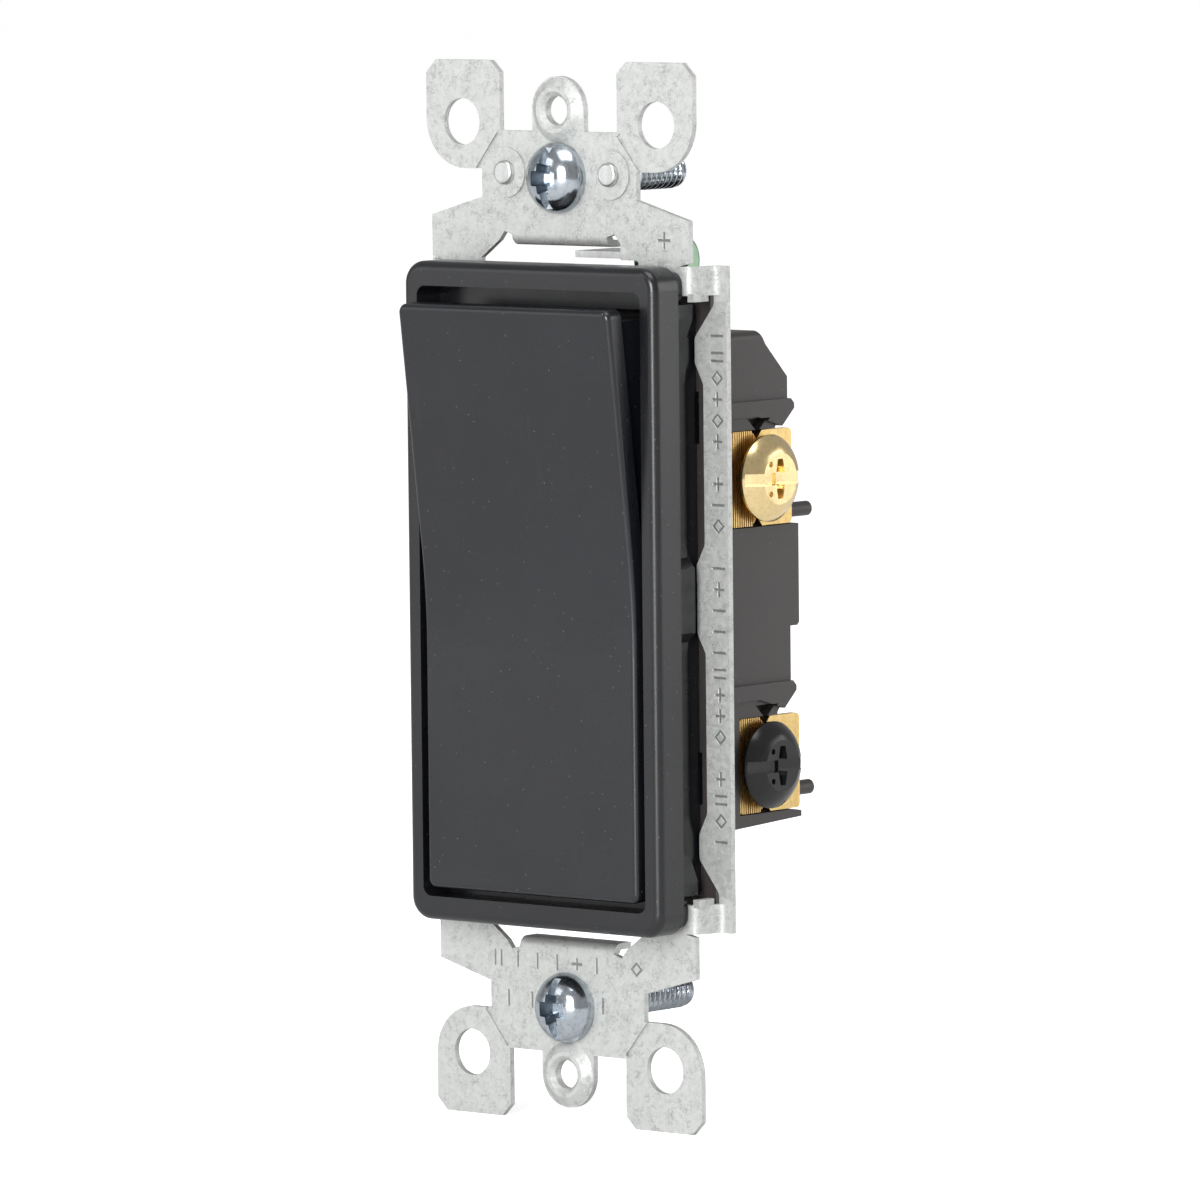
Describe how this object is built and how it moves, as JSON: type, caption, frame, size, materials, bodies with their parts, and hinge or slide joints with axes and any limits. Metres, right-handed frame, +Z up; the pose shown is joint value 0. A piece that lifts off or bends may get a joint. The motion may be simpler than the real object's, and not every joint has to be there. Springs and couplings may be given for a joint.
{
  "type": "rocker wall switch",
  "caption": "Flush rocker wall switch: black paddle and bezel on a flat steel mounting strap with ears, a boxy plastic rear body and side screw terminals.",
  "frame": {"origin": "on the wall plane, the rear face of the mounting ears, midway between the two box screws", "axes": "+X right seen from the room, +Y into the wall, +Z up along the strap"},
  "size_m": [0.0384, 0.034, 0.1066],
  "materials": {
    "galvanized_steel": "satin galvanized",
    "bright_steel": "satin",
    "ground_screw_finish": "satin green",
    "retainer_fibre": "matte",
    "black_bezel_plastic": "satin black",
    "black_rocker_plastic": "satin black",
    "dark_body_plastic": "matte dark grey",
    "spring_steel": "bright",
    "nylon": "matte",
    "copper_alloy": "satin",
    "silver_contact": "bright",
    "terminal_brass": "satin",
    "screw_brass": "bright",
    "black_screw_finish": "black oxide",
    "zinc_screw": "bright zinc"
  },
  "bodies": {
    "switch_case": {"mounting_strap": "galvanized_steel", "ground_bracket": "bright_steel", "ground_bracket_rivets": "bright_steel", "screw_retainers": "retainer_fibre", "front_frame": "black_bezel_plastic", "rear_body": "dark_body_plastic", "traveler_terminal_right": "terminal_brass", "traveler_terminal_left": "terminal_brass", "common_terminal": "terminal_brass", "fixed_contacts": "silver_contact"},
    "rocker_paddle": {"rocker": "black_rocker_plastic", "detent_spring": "spring_steel"},
    "plunger": {"detent_plunger": "nylon"},
    "rocking_arm": {"contact_arm": "copper_alloy", "arm_contacts": "silver_contact"},
    "box_screw_top": {"mounting_screw_top": "zinc_screw"},
    "box_screw_bottom": {"mounting_screw_bottom": "zinc_screw"},
    "terminal_screw_upper_right": {"traveler_screw_right": "screw_brass"},
    "terminal_screw_lower_left": {"traveler_screw_left": "screw_brass"},
    "terminal_screw_lower_right": {"common_screw": "black_screw_finish"},
    "earth_screw": {"ground_screw": "ground_screw_finish"}
  },
  "joints": [
    {"name": "rocker_tilt", "type": "hinge", "parent": "switch_case", "child": "rocker_paddle", "pos_m": [0, -0.0016, 0], "axis": [1, 0, 0], "range_deg": [-7.2, 0]},
    {"name": "plunger_slide", "type": "slide", "parent": "rocker_paddle", "child": "plunger", "axis": [0, 0.998, 0.0628], "range_m": [-0.0006, 0], "stiffness_N_per_m": 300, "springref_m": 0.001, "deforming": ["detent_spring"]},
    {"name": "contact_arm_tilt", "type": "hinge", "parent": "switch_case", "child": "rocking_arm", "pos_m": [0, 0.0136, 0], "axis": [1, 0, 0], "range_deg": [0, 8]},
    {"name": "mounting_screw_top_turn", "type": "hinge", "parent": "switch_case", "child": "box_screw_top", "pos_m": [0, 0, 0.04167], "axis": [0, 1, 0], "continuous": true},
    {"name": "mounting_screw_bottom_turn", "type": "hinge", "parent": "switch_case", "child": "box_screw_bottom", "pos_m": [0, 0, -0.04167], "axis": [0, 1, 0], "continuous": true},
    {"name": "traveler_screw_right_turn", "type": "hinge", "parent": "switch_case", "child": "terminal_screw_upper_right", "pos_m": [0.0137, 0.0152, 0.0112], "axis": [1, 0, 0], "continuous": true},
    {"name": "traveler_screw_left_turn", "type": "hinge", "parent": "switch_case", "child": "terminal_screw_lower_left", "pos_m": [-0.0137, 0.0152, -0.0177], "axis": [1, 0, 0], "continuous": true},
    {"name": "common_screw_turn", "type": "hinge", "parent": "switch_case", "child": "terminal_screw_lower_right", "pos_m": [0.0137, 0.0152, -0.0177], "axis": [1, 0, 0], "continuous": true},
    {"name": "ground_screw_turn", "type": "hinge", "parent": "switch_case", "child": "earth_screw", "pos_m": [0.0111, 0.0034, 0.0335], "axis": [1, 0, 0], "continuous": true}
  ],
  "couplings": [
    {"joint": "contact_arm_tilt", "follows": "rocker_tilt", "ratio": -1.1111}
  ]
}
